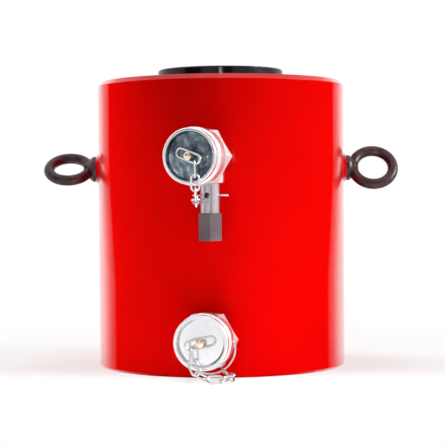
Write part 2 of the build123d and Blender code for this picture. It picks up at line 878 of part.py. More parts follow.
upper_coupler_end = upper_standoff - tee_top + port_thread_len - gap
lower_foot = lower_standoff + lower_spot_depth - washer_thick
lower_coupler_end = lower_standoff + lower_spot_depth + port_thread_len - gap
couplers = (
    ("upper", upper_port, upper_face, upper_spot_depth, hex_at + hex_thick, upper_coupler_end, upper_loop_bearing),
    ("lower", lower_port, lower_face, lower_spot_depth, lower_foot, lower_coupler_end, lower_loop_bearing),
)
for name, port, face, spot_depth, foot, shank_end, bearing in couplers:
    save(make_coupler(face, foot, shank_end).part, f"{name}_coupler")
    save(make_washer(port, spot_depth).part, f"{name}_port_washer")
    save(make_poppet(face).part, f"{name}_check_poppet")
    spring_from = nose_at + mouth_len + chamber_len - gap
    spring_to = nose_at + mouth_len + poppet_guide_len + 2 * gap
    check_spring = make_spring(face.offset(-spring_from), spring_from - spring_to, chamber_r - 2 * gap)
    save(check_spring.part, f"{name}_check_spring")
    save(make_cap(face).part, f"{name}_dust_cap")
    save(make_rivet(face).part, f"{name}_cap_rivet")
    save(make_loop(face, bearing).part, f"{name}_cap_loop")

# Wire bail of the upper chain: round behind the stem, its ends in two side holes
bail_end = stem_r - wire_hole_depth + gap
with BuildPart() as chain_anchor:
    with BuildLine(Plane(vent_centre, x_dir=upper_port.x_dir, z_dir=(0, 0, 1))) as anchor_line:
        Polyline(
            (bail_end, 0),
            (anchor_half, 0),
            (anchor_shoulder, anchor_shoulder_back),
            (anchor_crown, anchor_back),
            (-anchor_crown, anchor_back),
            (-anchor_shoulder, anchor_shoulder_back),
            (-anchor_half, 0),
            (-bail_end, 0),
        )
    wire_body(anchor_line.wire(), anchor_wire_r)
save(chain_anchor.part, "chain_anchor")

# Upper chain: hangs from the cap's loop and comes back to the bail
through = link_wire_r + link_slack / 2
bail_hook = vent_centre - upper_port.x_dir * anchor_hook_at - upper_port.z_dir * through
upper_chain_path = chain_points(loop_catch(upper_face, upper_loop_bearing), bail_hook, upper_runs)
save(make_chain(upper_chain_path, upper_port.x_dir, upper_chain_lie).part, "upper_chain")

# Ring that hangs on the lower coupler's neck
ring_drop = neck_r + tie_ring_wire_r + gap - tie_ring_r
ring_centre = lower_face.offset(-tie_ring_at).origin + Vector(0, 0, ring_drop)
tie_plane = Plane(ring_centre, x_dir=lower_face.x_dir, z_dir=lower_face.z_dir)
with BuildPart() as lower_chain_ring:
    with BuildSketch(beside(tie_plane)):
        with Locations((tie_ring_r, 0)):
            RegularPolygon(tie_ring_wire_r, wire_sides)
    revolve(axis=along(tie_plane))
save(lower_chain_ring.part, "lower_chain_ring")

# Lower chain: hangs from the cap's loop, lies on the floor and comes back to the ring
tie_hook = tie_ring_r * cos(radians(tie_hook_turn)), tie_ring_r * sin(radians(tie_hook_turn)), -through
ring_hook = tie_plane.from_local_coords(Vector(*tie_hook))
lower_chain_path = chain_points(loop_catch(lower_face, lower_loop_bearing), ring_hook, lower_runs)
save(make_chain(lower_chain_path, lower_port.x_dir, lower_chain_lie).part, "lower_chain")
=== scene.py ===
import json
from math import acos, atan2, cos, degrees, pi, radians, sin, sqrt, tan

import bpy
from mathutils import Matrix, Vector

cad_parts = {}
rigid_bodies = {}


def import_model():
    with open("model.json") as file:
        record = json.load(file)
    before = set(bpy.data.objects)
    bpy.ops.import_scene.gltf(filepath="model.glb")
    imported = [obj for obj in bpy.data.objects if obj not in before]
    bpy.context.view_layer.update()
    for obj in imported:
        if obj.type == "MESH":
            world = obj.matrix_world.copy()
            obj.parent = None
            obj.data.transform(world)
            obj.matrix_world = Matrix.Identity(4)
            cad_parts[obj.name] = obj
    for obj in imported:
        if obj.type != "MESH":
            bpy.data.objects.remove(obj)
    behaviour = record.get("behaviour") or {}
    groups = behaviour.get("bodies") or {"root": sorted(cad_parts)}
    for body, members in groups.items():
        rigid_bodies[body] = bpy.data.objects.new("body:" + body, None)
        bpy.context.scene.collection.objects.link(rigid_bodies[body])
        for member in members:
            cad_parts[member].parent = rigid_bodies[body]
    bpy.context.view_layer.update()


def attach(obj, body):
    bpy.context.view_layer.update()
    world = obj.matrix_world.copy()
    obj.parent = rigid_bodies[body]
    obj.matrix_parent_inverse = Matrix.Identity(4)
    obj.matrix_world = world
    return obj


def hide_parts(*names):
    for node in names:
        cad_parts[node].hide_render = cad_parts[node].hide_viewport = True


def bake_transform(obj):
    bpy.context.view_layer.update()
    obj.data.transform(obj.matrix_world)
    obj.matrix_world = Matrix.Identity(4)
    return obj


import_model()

# A short double acting hydraulic cylinder. Sizes are in millimetres under the part's names, +Z is up,
# the base stands on Z = 0 at the origin, the oil ports face -Y and the eyes stand on +X and -X.
MM = 0.001

# Barrel, its skin drawn a hair inside the solid's
BODY_R, BODY_H, BASE_THICK = 82.5, 190.0, 36.0
BORE_R, HEAD_R, HEAD_DEPTH = 65.0, 67.5, 32.0
RIM_CHAMFER, FOOT_CHAMFER, LEAD_CHAMFER = 3.0, 1.5, 1.5
HAIR = 0.01
SKIN_R = BODY_R - HAIR
SHOULDER_Z = BODY_H - HEAD_DEPTH

# Clearances, and how far drawn pieces reach into each other where they are one
THREAD_FIT, RUNNING_FIT, GAP = 0.05, 0.05, 0.1
OVERLAP = 0.2
ROOT = 2.0

# Saddle and its screw
SADDLE_R, SADDLE_THICK, SADDLE_CHAMFER = 42.0, 9.5, 0.8
SADDLE_SPIGOT_R, SADDLE_SPIGOT_LEN = 16.0, 8.0
SADDLE_FOOT_Z = BODY_H - 1.5
SADDLE_TOP_Z = SADDLE_FOOT_Z + SADDLE_THICK
SCREW_R, SCREW_HEAD_R = 5.0, 10.0
GRIP_SLOT_LEN, GRIP_SLOT_WIDTH, GRIP_SLOT_DEPTH = 90.0, 2.2, 1.1
GRIP_SLOT_BEARING, GRIP_RING_R = 35.0, 27.0

# Lifting bosses and eye bolts
EYE_Z = BODY_H - 58.0
EYE_CENTRE_X = BODY_R + 20.0
BOSS_FOOT_R, BOSS_FACE_R = 15.0, 8.8
BOSS_FOOT_X, BOSS_FACE_X = BODY_R - 2.5, BODY_R + 1.5
EYE_COLLAR_R, EYE_COLLAR_LEN = 8.5, 4.0
EYE_NECK_R, EYE_NECK_LEN = 4.2, 4.4
EYE_RING_R, EYE_WIRE_R = 13.5, 3.5
EYE_LEAN_RIGHT, EYE_LEAN_LEFT = 34.0, 56.0

# Oil ports: bearing round the barrel and turn of the port, both from -Y towards -X, and height
UPPER_PORT = (2.5, 20.0, 137.5)
LOWER_PORT = (5.1, 12.0, 24.5)
UPPER_STANDOFF, LOWER_STANDOFF = 45.3, 28.45
UPPER_SPOT_DEPTH, LOWER_SPOT_DEPTH, SPOT_REACH = 6.0, 3.0, 20.0
WASHER_THICK = 1.5

# Coupler half, measured back from the outer face of its dust cap
NOSE_AT, NOSE_R = 6.5, 14.3
HEX_AT, HEX_THICK, HEX_FLATS, HEX_FACE_R = 16.0, 8.0, 32.0, 15.7
NECK_R = 11.0
MOUTH_R, MOUTH_LEN = 4.0, 2.0
CHAMBER_R, CHAMBER_LEN, POPPET_GUIDE_LEN = 6.0, 12.5, 3.0

# Dust cap
CAP_R, CAP_EDGE, CAP_FRONT_BAND = 17.0, 0.6, 4.0
CAP_GROOVE_R, CAP_GROOVE_TO = 15.9, 7.5
CAP_REAR_R, CAP_LEN, CAP_WEB = 17.7, 15.5, 2.0
DISH_R, DISH_FLOOR_R, DISH_DEPTH = 15.0, 13.6, 2.5

# Cap rivet and wire loop
RIVET_R = 1.5
RIVET_HEAD_R, RIVET_HEAD_THICK = 2.6, 1.3
RIVET_TAIL_R, RIVET_TAIL_THICK = 2.8, 0.9
LOOP_WIRE_R, LOOP_HALF_LEN, LOOP_HALF_WIDTH, LOOP_TILT = 0.75, 9.25, 2.75, 18.0
UPPER_LOOP_BEARING, LOWER_LOOP_BEARING = -19.0, 192.0

# Tee adapter and relief valve
TEE_R, TEE_VALVE_AT = 10.9, 9.7
BRANCH_R, BRANCH_LEN = 9.0, 15.9
STEM_R, STEM_LEN, STEM_BORE_R, STEM_FLOOR = 6.0, 18.8, 3.4, 1.0
VENT_R, VENT_DROP, VENT_DEPTH = 1.75, 7.6, 9.0
VALVE_CAP_FLATS, VALVE_CAP_FACE_R, VALVE_CAP_LEN = 14.0, 6.9, 16.8
VALVE_STUD_LEN = 4.0

# Coil springs
SPRING_WIRE, SPRING_SECTION, SPRING_TURNS = 0.9, 0.8, 4
RELIEF_SPRING_FROM = 2.7

# Wire bail through the relief stem that carries the upper chain
WIRE_HOLE_DEPTH = 1.8
BAIL_HALF, BAIL_SHOULDER, BAIL_CROWN = 11.4, 10.6, 4.3
BAIL_SHOULDER_BACK, BAIL_BACK = 4.4, 7.4
BAIL_WIRE_R = 0.55
BAIL_HOOK_AT = 8.7

# Ring round the lower coupler's neck that ties the lower chain
TIE_RING_R, TIE_RING_WIRE_R, TIE_RING_AT = 16.5, 0.7, 24.9
TIE_HOOK_TURN = -60.0

# Chain links, and each link's bearing from +X and its dip below level
LINK_LEN, LINK_WIDTH, LINK_WIRE_R, LINK_SLACK = 11.5, 6.0, 0.65, 0.6
LINK_HALF = LINK_LEN / 2 - LINK_WIRE_R
LINK_SIDE = LINK_WIDTH / 2 - LINK_WIRE_R
PITCH = LINK_LEN - 4 * LINK_WIRE_R - LINK_SLACK
THROUGH = LINK_HALF - PITCH / 2
UPPER_RUNS = ((90, 88), (90, 76), (90, 48), (90, 16), (90, -4), (90, -12), (90, -16))
LOWER_RUNS = ((300, 84), (312, 52), (340, 22), (15, 0), (50, 0), (80, 0), (105, 0), (115, -17))
UPPER_LIE, LOWER_LIE = -20.0, -28.0


# Frames
def basis(origin, x_dir, z_dir):
    """4x4 frame from an origin, an X direction and a Z direction."""
    z = Vector(z_dir).normalized()
    x = Vector(x_dir)
    x = (x - z * x.dot(z)).normalized()
    y = z.cross(x)
    m = Matrix((x, y, z)).transposed().to_4x4()
    m.translation = Vector(origin)
    return m


def port_frame(bearing, turn, height):
    """Frame of a port on the barrel: X right, Y up, Z outwards."""
    b, t = radians(bearing), radians(turn)
    origin = (-BODY_R * sin(b), -BODY_R * cos(b), height)
    return basis(origin, (cos(t), -sin(t), 0), (-sin(t), -cos(t), 0))


def shift(m, distance):
    """The same frame moved along its own Z."""
    return m @ Matrix.Translation((0, 0, distance))


def shift_x(m, distance):
    """The same frame moved along its own X."""
    return m @ Matrix.Translation((distance, 0, 0))


def below(point, drop):
    """The point straight below another."""
    return point - Vector((0, 0, drop))


def spoke(m, radius, turn, height=0.0):
    """The point at a radius, a turn in radians and a height on a frame."""
    return m @ Vector((radius * cos(turn), radius * sin(turn), height))


WORLD = Matrix.Identity(4)
UPPER = port_frame(*UPPER_PORT)
LOWER = port_frame(*LOWER_PORT)
UPPER_FACE = shift(UPPER, UPPER_STANDOFF)
LOWER_FACE = shift(LOWER, LOWER_STANDOFF)
UPPER_RIGHT, UPPER_OUT = UPPER.col[0].xyz, UPPER.col[2].xyz
VALVE = basis(below(shift(UPPER, TEE_VALVE_AT).translation, BRANCH_LEN), UPPER_RIGHT, (0, 0, -1))
VENT = basis(below(VALVE.translation, VENT_DROP), UPPER_RIGHT, UPPER_OUT)


# Mesh helpers
def add_object(name, data):
    """A new object in the scene."""
    obj = bpy.data.objects.new(name, data)
    bpy.context.scene.collection.objects.link(obj)
    return obj


def new_mesh(name, verts, faces, material, sharp=30.0):
    """A smooth mesh object from points in millimetres, sharp where its faces turn by more degrees."""
    mesh = bpy.data.meshes.new(name)
    mesh.from_pydata([Vector(v) * MM for v in verts], [], faces)
    mesh.validate()
    mesh.update()
    mesh.shade_smooth()
    mesh.set_sharp_from_angle(angle=radians(sharp))
    mesh.materials.append(material)
    return add_object(name, mesh)


def sleeve(inner, outer, low, high):
    """Half section of a straight sleeve, or of a bar where the inner radius is 0."""
    return [(inner, low), (outer, low), (outer, high), (inner, high)]


def rounded(points, radius, steps):
    """Round each corner of a closed half section. Returns points and, per run, its curve centre or None."""
    straight = radians(86)
    most = 0.4
    area = sum(a[0] * b[1] - b[0] * a[1] for a, b in zip(points, points[1:] + points[:1]))
    if area < 0:
        points = points[::-1]
    out, centres = [], []
    for i, p in enumerate(points):
        p = Vector(p)
        a, b = Vector(points[i - 1]) - p, Vector(points[(i + 1) % len(points)]) - p
        la, lb = a.length, b.length
        if p.x < 1e-6 or radius <= 0 or la < 1e-6 or lb < 1e-6:
            out.append(p)
            centres.append(None)
            continue
        a.normalize()
        b.normalize()
        half = acos(max(-1, min(1, a.dot(b)))) / 2
        if half > straight:
            out.append(p)
            centres.append(None)
            continue
        t = min(radius / tan(half), most * la, most * lb)
        r = t * tan(half)
        centre = p + (a + b).normalized() * (r / sin(half))
        u, v = p + a * t - centre, p + b * t - centre
        sweep = u.angle(v)
        sense = 1 if u.x * v.y - u.y * v.x > 0 else -1
        for k in range(steps + 1):
            turn = sweep * k / steps * sense
            c, s = cos(turn), sin(turn)
            out.append(centre + Vector((u.x * c - u.y * s, u.x * s + u.y * c)))
            centres.append(centre if k < steps else None)
    return out, centres


def run_normals(start, end, centre):
    """Normals of a half section's run at its two ends: along its curve, or square to a straight run."""
    run = end - start
    flat = Vector((run.y, -run.x)).normalized()
    if centre is None:
        return flat, flat
    at_start, at_end = (start - centre).normalized(), (end - centre).normalized()
    if at_start.dot(flat) < 0:
        return -at_start, -at_end
    return at_start, at_end


def lathe(name, points, m, material, radius, segments, steps=3):
    """Solid of revolution round a frame's Z from a closed half section of (radius, height)."""
    ring, centres = rounded(points, radius, steps)
    turns = [2 * pi * s / segments for s in range(segments + 1)]
    verts, index = [], []
    for p in ring:
        around = turns[:1] if p.x < 1e-6 else turns[:-1]
        index.append(range(len(verts), len(verts) + len(around)))
        verts.extend(spoke(m, p.x, a, p.y) for a in around)
    spin = m.to_3x3()
    faces, normals = [], []
    for i, start in enumerate(ring):
        j = (i + 1) % len(ring)
        lo, hi = index[i], index[j]
        if len(lo) == len(hi) == 1 or (ring[j] - start).length < 1e-9:
            continue
        na, nb = run_normals(start, ring[j], centres[i])
        for s in range(segments):
            t = (s + 1) % segments
            now, after = turns[s], turns[s + 1]
            if len(lo) == 1:
                corners = [(lo[0], na, now), (hi[t], nb, after), (hi[s], nb, now)]
            elif len(hi) == 1:
                corners = [(lo[s], na, now), (lo[t], na, after), (hi[0], nb, now)]
            else:
                corners = [(lo[s], na, now), (lo[t], na, after), (hi[t], nb, after), (hi[s], nb, now)]
            faces.append([corner for corner, _, _ in corners])
            for _, flat, a in corners:
                normals.append((spin @ Vector((flat.x * cos(a), flat.x * sin(a), flat.y))).normalized())
    mesh = bpy.data.meshes.new(name)
    mesh.from_pydata([v * MM for v in verts], [], faces)
    mesh.update()
    mesh.shade_smooth()
    mesh.normals_split_custom_set(normals)
    mesh.materials.append(material)
    return add_object(name, mesh)


def tube(name, path, radius, material, closed, sides=14):
    """Round wire along a smooth path of points in millimetres."""
    pts = [Vector(p) for p in path]
    n = len(pts)
    tangents = []
    for i in range(n):
        before, after = (i - 1, (i + 1) % n) if closed else (max(i - 1, 0), min(i + 1, n - 1))
        tangents.append((pts[after] - pts[before]).normalized())
    first = tangents[0]
    up = Vector((0.3, 0.5, 0.8))
    normal = (up - first * up.dot(first)).normalized()
    rings = []
    for tangent in tangents:
        normal = (normal - tangent * normal.dot(tangent)).normalized()
        rings.append((normal.copy(), tangent.cross(normal)))
    twist = 0.0
    if closed:
        begun, last = rings[0][0], rings[-1][0]
        last = (last - first * last.dot(first)).normalized()
        twist = atan2(last.cross(begun).dot(first), last.dot(begun))
    verts, faces = [], []
    for i, (a, b) in enumerate(rings):
        for k in range(sides):
            t = 2 * pi * k / sides + twist * i / n
            verts.append(pts[i] + (a * cos(t) + b * sin(t)) * radius)
    for i in range(n if closed else n - 1):
        j = (i + 1) % n
        for k in range(sides):
            q = (k + 1) % sides
            faces.append((i * sides + k, i * sides + q, j * sides + q, j * sides + k))
    if not closed:
        faces.append(tuple(range(sides))[::-1])
        faces.append(tuple((n - 1) * sides + k for k in range(sides)))
    return new_mesh(name, verts, faces, material, 50.0)


def circle(m, radius, count):
    """Centre line of a ring on a frame."""
    return [spoke(m, radius, 2 * pi * k / count) for k in range(count)]


def racetrack(m, half_len, half_width):
    """Centre line of a long wire link on a frame, lengthwise along its X."""
    steps = 12
    straight = half_len - half_width
    pts = []
    for side in (1, -1):
        for k in range(steps + 1):
            t = side * (pi * k / steps - pi / 2)
            pts.append(m @ Vector((side * (straight + half_width * cos(t)), half_width * sin(t), 0)))
        pts.append(m @ Vector((0, side * half_width, 0)))
    return pts


def prism(name, m, flats, low, high, material, turn, face_r, both_ends=False):
    """Hexagonal prism on a frame, sloped outside a face radius at its high end or at both ends.

    The corners slope back where high is above low, and lean out where it is below.
    """
    columns = 6 * 14
    slope = tan(radians(30))
    verts, faces = [], []
    for c in range(columns):
        a = 2 * pi * c / columns
        r = flats / 2 / cos((a % (pi / 3)) - pi / 6)
        drop = max(0.0, (r - face_r) * slope)
        high_r = min(r, face_r)
        low_r, low_drop = (high_r, drop) if both_ends else (r, 0.0)
        t = a + radians(turn)
        for corner_r, h in ((high_r, high), (r, high - drop), (r, low + low_drop), (low_r, low)):
            verts.append(spoke(m, corner_r, t, h))
    for c in range(columns):
        d = (c + 1) % columns
        for k in range(3):
            faces.append((4 * c + k, 4 * c + k + 1, 4 * d + k + 1, 4 * d + k))
    faces.append(tuple(4 * c for c in range(columns)))
    faces.append(tuple(4 * c + 3 for c in range(columns))[::-1])
    if high < low:
        faces = [face[::-1] for face in faces]
    return new_mesh(name, verts, faces, material, 20.0)


def box(name, m, length, width, low, high, material):
    """A plain box on a frame, centred on its origin and from one height to another."""
    x, y = length / 2, width / 2
    verts = [m @ Vector((a * x, b * y, h)) for a in (-1, 1) for b in (-1, 1) for h in (low, high)]
    faces = [(0, 1, 3, 2), (4, 6, 7, 5), (0, 4, 5, 1), (2, 3, 7, 6), (0, 2, 6, 4), (1, 5, 7, 3)]
    return new_mesh(name, verts, faces, material)


def cut(obj, tools, m, radius, material):
    """Subtract tool meshes, then give the turned surface of that radius its own normals again."""
    for tool in tools:
        mod = obj.modifiers.new("cut", "BOOLEAN")
        mod.operation = "DIFFERENCE"
        mod.solver = "EXACT"
        mod.object = tool
        bpy.context.view_layer.update()
        done = bpy.data.meshes.new_from_object(obj.evaluated_get(bpy.context.evaluated_depsgraph_get()))
        obj.modifiers.clear()
        obj.data = done
    for tool in tools:
        bpy.data.objects.remove(tool)
    mesh = obj.data
    mesh.materials.clear()
    mesh.materials.append(material)
    mesh.shade_smooth()
    mesh.set_sharp_from_angle(angle=radians(30))
    normals = [n.vector.copy() for n in mesh.corner_normals]
    back, spin = m.inverted(), m.to_3x3()
    local = [back @ (v.co / MM) for v in mesh.vertices]
    turned = [abs(sqrt(v.x * v.x + v.y * v.y) - radius) < 0.02 for v in local]
    for face in mesh.polygons:
        if all(turned[v] for v in face.vertices):
            for loop, v in zip(face.loop_indices, face.vertices):
                normals[loop] = (spin @ Vector((local[v].x, local[v].y, 0))).normalized()
    mesh.normals_split_custom_set(normals)


# Materials
class Nodes:
    """A small builder for one node tree."""

    def __init__(self, tree):
        self.tree = tree

    def feed(self, socket, value):
        """Link a socket to another, or set its value. A colour is given as three numbers."""
        if isinstance(value, bpy.types.NodeSocket):
            self.tree.links.new(value, socket)
        else:
            socket.default_value = (*value, 1) if socket.type == "RGBA" else value

    def add(self, kind, **values):
        """A new node with its sockets fed by name, an underscore standing for a space."""
        node = self.tree.nodes.new(kind)
        for key, value in values.items():
            self.feed(node.inputs[key.replace("_", " ")], value)
        return node

    def math(self, operation, a, b):
        """The result of a sum on two values."""
        node = self.tree.nodes.new("ShaderNodeMath")
        node.operation = operation
        self.feed(node.inputs[0], a)
        self.feed(node.inputs[1], b)
        return node.outputs[0]

    def span(self, value, low, high, to_low, to_high):
        """A value carried from one range to another, held at its ends."""
        ends = {"From_Min": low, "From_Max": high, "To_Min": to_low, "To_Max": to_high}
        return self.add("ShaderNodeMapRange", Value=value, **ends).outputs["Result"]

    def blend(self, factor, a, b):
        """A colour between two others."""
        node = self.tree.nodes.new("ShaderNodeMix")
        node.data_type = "RGBA"
        for key, value in (("Factor", factor), ("A", a), ("B", b)):
            self.feed(node.inputs[key], value)
        return node.outputs["Result"]

    def mix_shaders(self, factor, a, b):
        """One shader node's light changing to another's."""
        node = self.tree.nodes.new("ShaderNodeMixShader")
        for socket, value in zip(node.inputs, (factor, a.outputs[0], b.outputs[0])):
            self.feed(socket, value)
        return node.outputs[0]

    def background_ray(self):
        """1 on a ray that shows the background: from the camera, off metal or through glass."""
        rays = self.add("ShaderNodeLightPath").outputs
        seen = self.math("MAXIMUM", rays["Is Camera Ray"], rays["Is Glossy Ray"])
        return self.math("MAXIMUM", seen, rays["Is Transmission Ray"])


class Look(Nodes):
    """A material's node tree round its Principled BSDF."""

    def __init__(self, name):
        self.material = bpy.data.materials.new(name)
        self.material.use_nodes = True
        super().__init__(self.material.node_tree)
        self.bsdf = self.tree.nodes["Principled BSDF"]
        self.coords = self.add("ShaderNodeTexCoord").outputs["Object"]

    def noise(self, scale, detail=3.0, stretch=None):
        """Noise on the object's own coordinates, scaled along an axis by a stretch below 1."""
        vector = self.coords
        if stretch:
            vector = self.add("ShaderNodeMapping", Vector=vector, Scale=stretch).outputs["Vector"]
        node = self.add("ShaderNodeTexNoise", Vector=vector, Scale=scale, Detail=detail, Roughness=0.55)
        return node.outputs["Fac"]

    def bump(self, height, distance, strength, round_mm=0.0):
        """Relief of a distance in millimetres, on edges that shade as if rounded."""
        node = self.add("ShaderNodeBump", Height=height, Distance=distance * MM, Strength=strength)
        if round_mm:
            bevel = self.add("ShaderNodeBevel", Radius=round_mm * MM)
            bevel.samples = 4
            self.feed(node.inputs["Normal"], bevel.outputs["Normal"])
        self.set(Normal=node.outputs["Normal"])

    def set(self, **values):
        """Feed the BSDF's sockets by name."""
        for key, value in values.items():
            self.feed(self.bsdf.inputs[key.replace("_", " ")], value)


def paint():
    """Red paint, plain where it faces the camera and glossy towards the barrel's sides and on its rim."""
    n = Look("red_paint")
    cloud = n.noise(9, 4)
    speck = n.noise(900, 2)
    streak = n.noise(26, 3, stretch=(1.0, 1.0, 0.06))
    colour = n.blend(n.span(cloud, 0.3, 0.7, 0, 1), (0.80, 0.002, 0.001), (0.75, 0.001, 0.001))
    colour = n.blend(n.span(speck, 0.70, 0.80, 0, 0.35), colour, (0.66, 0.02, 0.015))
    rough = n.math("ADD", n.span(cloud, 0.3, 0.7, 0.22, 0.28), n.span(streak, 0.35, 0.65, -0.02, 0.03))
    n.set(Base_Color=colour, Roughness=rough)

    # The glossy bands are narrower on the upper half
    height = n.add("ShaderNodeSeparateXYZ", Vector=n.coords).outputs["Z"]
    narrower = n.span(height, 0.06, 0.13, 0.0, -0.09)
    edge = n.math("ADD", n.add("ShaderNodeLayerWeight").outputs["Facing"], narrower)
    rim = (BODY_H - RIM_CHAMFER) * MM
    rim_gloss = n.span(height, rim - 0.0004, rim + 0.0002, 0.0, 0.5)
    gloss = n.math("MAXIMUM", n.span(edge, 0.50, 0.74, 0.0, 1.0), rim_gloss)
    coat = n.span(edge, 0.58, 0.72, 0.0, 1.0)
    n.set(Specular_IOR_Level=gloss, Coat_Weight=coat, Coat_IOR=2.0, Coat_Roughness=0.12)
    n.bump(n.math("ADD", n.noise(420, 2), n.math("MULTIPLY", n.noise(70, 2), 2.5)), 0.02, 0.3)
    return n.material


def metal(
    name, light, dark, rough, spread,
    grain=120, stretch=None, bump=0.01, round_mm=0.15, metallic=1.0, dents=0.0, gloss=0.5,
):
    """A metal or plastic mottled between two colours and two roughnesses, with grain and maybe dents."""
    n = Look(name)
    cloud = n.noise(grain / 6, 4)
    fine = n.noise(grain * 4, 3, stretch=stretch)
    mottle = n.math("ADD", cloud, n.math("MULTIPLY", fine, 0.35))
    wear = n.math("ADD", n.math("MULTIPLY", cloud, 0.6), n.math("MULTIPLY", fine, 0.4))
    n.set(
        Base_Color=n.blend(n.span(mottle, 0.45, 0.85, 0, 1), light, dark),
        Roughness=n.span(wear, 0.3, 0.7, rough - spread, rough + spread),
        Metallic=metallic,
        Specular_IOR_Level=gloss,
    )
    if dents:
        fine = n.math("ADD", n.math("MULTIPLY", fine, 0.5), n.math("MULTIPLY", n.noise(dents, 1), 22.0))
    n.bump(fine, bump, 0.5, round_mm)
    return n.material


RED = paint()
BLACK = metal(
    "black_oxide", (0.115, 0.052, 0.056), (0.018, 0.006, 0.009), 0.31, 0.07,
    grain=700, metallic=0.6, gloss=0.8,
)
BLACK_DISC = metal(
    "black_oxide_turned", (0.020, 0.013, 0.020), (0.008, 0.005, 0.011), 0.16, 0.05,
    metallic=0.35, gloss=0.3,
)
MACHINED = metal("machined_steel", (0.58, 0.58, 0.59), (0.42, 0.42, 0.44), 0.30, 0.07)
HARD_CHROME = metal("hard_chrome", (0.72, 0.73, 0.75), (0.62, 0.63, 0.66), 0.10, 0.04, bump=0.003)
BRIGHT = metal(
    "bright_plate", (0.91, 0.91, 0.93), (0.80, 0.80, 0.83), 0.18, 0.06, bump=0.006, metallic=0.93
)
SKIRT = metal(
    "bright_plate_skirt", (0.92, 0.92, 0.94), (0.82, 0.82, 0.85), 0.18, 0.06, bump=0.006, metallic=0.76
)
TEE = metal("tee_plate", (0.80, 0.80, 0.82), (0.66, 0.66, 0.69), 0.16, 0.05, bump=0.006)
HEXAGON = metal(
    "satin_plate", (0.97, 0.97, 0.98), (0.86, 0.86, 0.88), 0.26, 0.06, bump=0.006, metallic=0.35
)
# Upper cap dish: bright plate whose dark slate-blue mottle is painted reflection of the dark surroundings
# that the polished dish mirrors
DISH_PAINTED_REFLECTION = metal(
    "bright_plate_dish_painted_reflection", (0.40, 0.48, 0.54), (0.03, 0.045, 0.075), 0.19, 0.06,
    grain=1000, bump=0.012, dents=170,
)
GREY = metal(
    "grey_steel", (0.56, 0.50, 0.53), (0.43, 0.378, 0.408), 0.26, 0.06,
    bump=0.004, round_mm=0.0, metallic=0.8,
)
GREY_DARK = metal(
    "grey_steel_cap", (0.20, 0.152, 0.160), (0.125, 0.099, 0.107), 0.60, 0.08,
    grain=500, stretch=(1.0, 1.0, 0.1), bump=0.02, metallic=0.45, gloss=0.25,
)
WIRE = metal(
    "spring_steel", (0.84, 0.83, 0.84), (0.56, 0.55, 0.56), 0.20, 0.07, bump=0.004, round_mm=0.0
)
BRONZE = metal("bronze", (0.60, 0.41, 0.19), (0.46, 0.30, 0.13), 0.32, 0.07)
BRASS = metal("brass", (0.92, 0.80, 0.62), (0.74, 0.60, 0.42), 0.22, 0.07)
POLYURETHANE = metal(
    "seal_polyurethane", (0.05, 0.07, 0.20), (0.03, 0.045, 0.14), 0.42, 0.08, metallic=0.0
)
RUBBER = metal("seal_rubber", (0.03, 0.03, 0.03), (0.018, 0.018, 0.018), 0.55, 0.08, metallic=0.0)

# What the part's own nodes are made of, also those that nothing below replaces
NODE_LOOKS = (
    (RED, ("cylinder_body", "lifting_bosses")),
    (BLACK, ("eye_bolts",)),
    (BLACK_DISC, ("gland_ring_nut", "saddle", "saddle_screw")),
    (MACHINED, ("gland", "piston", "piston_nut", "upper_port_washer", "lower_port_washer")),
    (MACHINED, ("upper_check_poppet", "lower_check_poppet", "relief_poppet")),
    (HARD_CHROME, ("plunger",)),
    (BRIGHT, ("upper_coupler", "lower_coupler", "upper_dust_cap", "lower_dust_cap")),
    (TEE, ("upper_tee_adapter",)),
    (GREY, ("relief_valve_body", "relief_valve_cap")),
    (WIRE, ("relief_spring", "upper_check_spring", "lower_check_spring")),
    (WIRE, ("upper_cap_loop", "lower_cap_loop", "upper_chain", "lower_chain")),
    (WIRE, ("chain_anchor", "lower_chain_ring")),
    (BRONZE, ("rod_bearing", "piston_wear_band")),
    (BRASS, ("upper_cap_rivet", "lower_cap_rivet")),
    (POLYURETHANE, ("rod_seal", "rod_wiper", "piston_seal")),
    (RUBBER, ("gland_seal",)),
)
look_of = {node: look for look, nodes in NODE_LOOKS for node in nodes}
for obj in bpy.context.scene.objects:
    if obj.type == "MESH" and obj.name in look_of:
        obj.data.materials.clear()
        obj.data.materials.append(look_of[obj.name])


# Sub-parts
def piece(obj, body, node):
    """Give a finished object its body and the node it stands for."""
    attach(obj, body)
    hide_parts(node)


def make_barrel():
    """The barrel, its head turned out for the gland and a spot face at each port."""
    profile = [
        (0, 0),
        (BODY_R - FOOT_CHAMFER, 0),
        (SKIN_R, FOOT_CHAMFER),
        (SKIN_R, BODY_H - RIM_CHAMFER),
        (BODY_R - RIM_CHAMFER, BODY_H),
        (HEAD_R + LEAD_CHAMFER, BODY_H),
        (HEAD_R, BODY_H - LEAD_CHAMFER),
        (HEAD_R, SHOULDER_Z),
        (BORE_R, SHOULDER_Z),
        (BORE_R, BASE_THICK),
        (0, BASE_THICK),
    ]
    barrel = lathe("barrel", profile, WORLD, RED, 0.5, 512)
    spot_r = TEE_R + THREAD_FIT
    spots = [
        lathe("upper_spot", sleeve(0, spot_r, -UPPER_SPOT_DEPTH, SPOT_REACH), UPPER, RED, 0, 96),
        lathe("lower_spot", sleeve(0, spot_r, -LOWER_SPOT_DEPTH, SPOT_REACH), LOWER, RED, 0, 96),
    ]
    cut(barrel, spots, WORLD, SKIN_R, RED)
    piece(barrel, "barrel", "cylinder_body")


